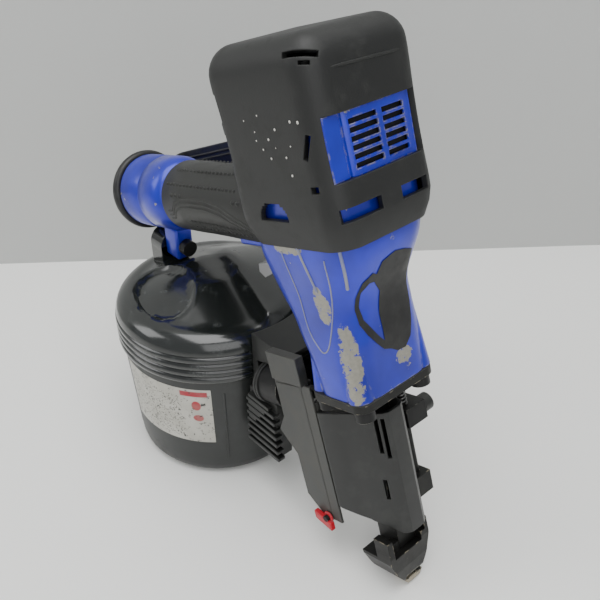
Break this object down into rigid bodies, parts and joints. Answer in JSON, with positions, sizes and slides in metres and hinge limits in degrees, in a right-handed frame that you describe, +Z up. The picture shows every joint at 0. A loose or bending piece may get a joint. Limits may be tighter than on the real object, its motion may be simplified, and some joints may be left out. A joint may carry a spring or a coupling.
{
  "type": "coil nailer",
  "caption": "Pneumatic coil nailer: blue die-cast housing with rubber cover and grip, swing-open drum magazine, feed door, contact foot and hook, standing on its drum.",
  "frame": {"origin": "middle of the drum's flat base, on the floor", "axes": "+Z up, +X towards the nose and the front of the tool, +Y to the tool's left"},
  "size_m": [0.2598, 0.1299, 0.29],
  "materials": {
    "blue_enamel": "metallic enamel on die-cast alloy, worn at the edges",
    "cover_rubber": "moulded black rubber, scuffed",
    "grip_elastomer": "moulded soft grip with raised lines",
    "black_nylon": "glass-filled nylon, fine grain",
    "bowl_nylon": "dark grey moulded nylon",
    "smoke_polycarbonate": "glossy smoke polycarbonate",
    "platform_acetal": "natural acetal",
    "red_plastic": "red moulded plastic",
    "black_steel": "black oxide steel",
    "foot_steel": "black coated steel worn bare at the tip",
    "bright_steel": "ground steel",
    "alloy": "machined aluminium",
    "brass": "turned brass",
    "plug_chrome": "plated steel",
    "seal_rubber": "moulded seal"
  },
  "bodies": {
    "root": {"housing": "blue_enamel", "exhaust_grille": "blue_enamel", "cap_gasket": "seal_rubber", "top_cap": "blue_enamel", "cap_screws": "black_steel", "rubber_cover": "cover_rubber", "cylinder_sleeve": "alloy", "bumper": "seal_rubber", "nose_gasket": "seal_rubber", "nose_plate": "black_steel", "flange_bolts": "black_steel", "driver_guide": "foot_steel", "nail_rail": "foot_steel", "nose_cover": "black_nylon", "hinge_bracket": "black_steel", "hinge_pin": "bright_steel", "feed_cylinder": "alloy", "feed_cap": "black_nylon", "feed_spring": "bright_steel", "contact_spring": "bright_steel", "head_valve_spring": "bright_steel", "trigger_pin": "bright_steel", "trigger_valve_body": "brass", "grip_rubber": "grip_elastomer", "inlet_boss": "alloy", "air_plug": "plug_chrome", "drum_canopy": "smoke_polycarbonate", "magazine_neck": "black_nylon", "magazine_pin": "bright_steel", "leg_bolt": "black_steel", "leg_nut": "black_steel"},
    "trigger": {"trigger": "alloy"},
    "valve_stem": {"valve_stem": "bright_steel"},
    "contact_arm": {"contact_foot": "foot_steel", "adjuster_rod": "foot_steel", "contact_link": "black_steel", "dial_pin": "black_steel"},
    "depth_dial": {"depth_dial": "black_nylon"},
    "feed_door": {"feed_door": "black_nylon", "latch_pin": "black_steel"},
    "door_latch": {"door_latch": "red_plastic"},
    "drum_bowl": {"drum_bowl": "bowl_nylon", "platform_post": "platform_acetal"},
    "nail_platform": {"nail_platform": "platform_acetal"},
    "feed_piston": {"feed_piston": "alloy", "pawl_pin": "bright_steel"},
    "feed_pawl": {"feed_pawl": "bright_steel"},
    "main_piston": {"main_piston": "alloy", "driver_blade": "bright_steel"},
    "head_valve": {"head_valve": "seal_rubber"},
    "hook": {"hook": "black_steel"}
  },
  "joints": [
    {"name": "trigger_hinge", "type": "hinge", "parent": "root", "child": "trigger", "pos_m": [0.08094, -0.0028, 0.16813], "axis": [0, 1, 0], "range_deg": [0, 12], "stiffness_Nm_per_rad": 1.4, "springref_deg": -4.58},
    {"name": "valve_stem_slide", "type": "slide", "parent": "root", "child": "valve_stem", "axis": [-0.3156, 0, 0.9489], "range_m": [0, 0.0024]},
    {"name": "contact_slide", "type": "slide", "parent": "root", "child": "contact_arm", "axis": [-0.3156, 0, 0.9489], "range_m": [0, 0.008], "stiffness_N_per_m": 900, "springref_m": -0.03, "deforming": ["contact_spring"]},
    {"name": "dial_turn", "type": "hinge", "parent": "contact_arm", "child": "depth_dial", "pos_m": [0.14508, 0.0282, 0.08935], "axis": [0, 1, 0], "continuous": true},
    {"name": "door_hinge", "type": "hinge", "parent": "root", "child": "feed_door", "pos_m": [0.12752, -0.0218, 0.06928], "axis": [-0.3156, 0, 0.9489], "range_deg": [0, 90]},
    {"name": "latch_turn", "type": "hinge", "parent": "feed_door", "child": "door_latch", "pos_m": [0.13256, -0.0288, 0.03196], "axis": [0, -1, 0], "range_deg": [0, 70]},
    {"name": "bowl_hinge", "type": "hinge", "parent": "root", "child": "drum_bowl", "pos_m": [-0.006, 0.064, 0.07], "axis": [0, 0, -1], "range_deg": [0, 90]},
    {"name": "platform_lift", "type": "slide", "parent": "drum_bowl", "child": "nail_platform", "axis": [0, 0, 1], "range_m": [0, 0.02]},
    {"name": "feed_slide", "type": "slide", "parent": "root", "child": "feed_piston", "axis": [-0.9489, 0, -0.3156], "range_m": [0, 0.006], "stiffness_N_per_m": 1500, "springref_m": -0.01, "deforming": ["feed_spring"]},
    {"name": "pawl_hinge", "type": "hinge", "parent": "feed_piston", "child": "feed_pawl", "pos_m": [0.10192, -0.0148, 0.09554], "axis": [0.3156, 0, -0.9489], "range_deg": [0, 15], "stiffness_Nm_per_rad": 0.05, "springref_deg": -11.46},
    {"name": "piston_slide", "type": "slide", "parent": "root", "child": "main_piston", "axis": [0.3156, 0, -0.9489], "range_m": [0, 0.074]},
    {"name": "head_valve_slide", "type": "slide", "parent": "root", "child": "head_valve", "axis": [-0.3156, 0, 0.9489], "range_m": [0, 0.004], "stiffness_N_per_m": 3000, "springref_m": -0.006, "deforming": ["head_valve_spring"]},
    {"name": "hook_swivel", "type": "hinge", "parent": "root", "child": "hook", "pos_m": [-0.05872, -0.0028, 0.15392], "axis": [0.9603, 0, 0.279], "range_deg": [-60, 110]}
  ],
  "couplings": [
    {"joint": "valve_stem_slide", "follows": "trigger_hinge", "m_per_rad": 0.010982}
  ]
}
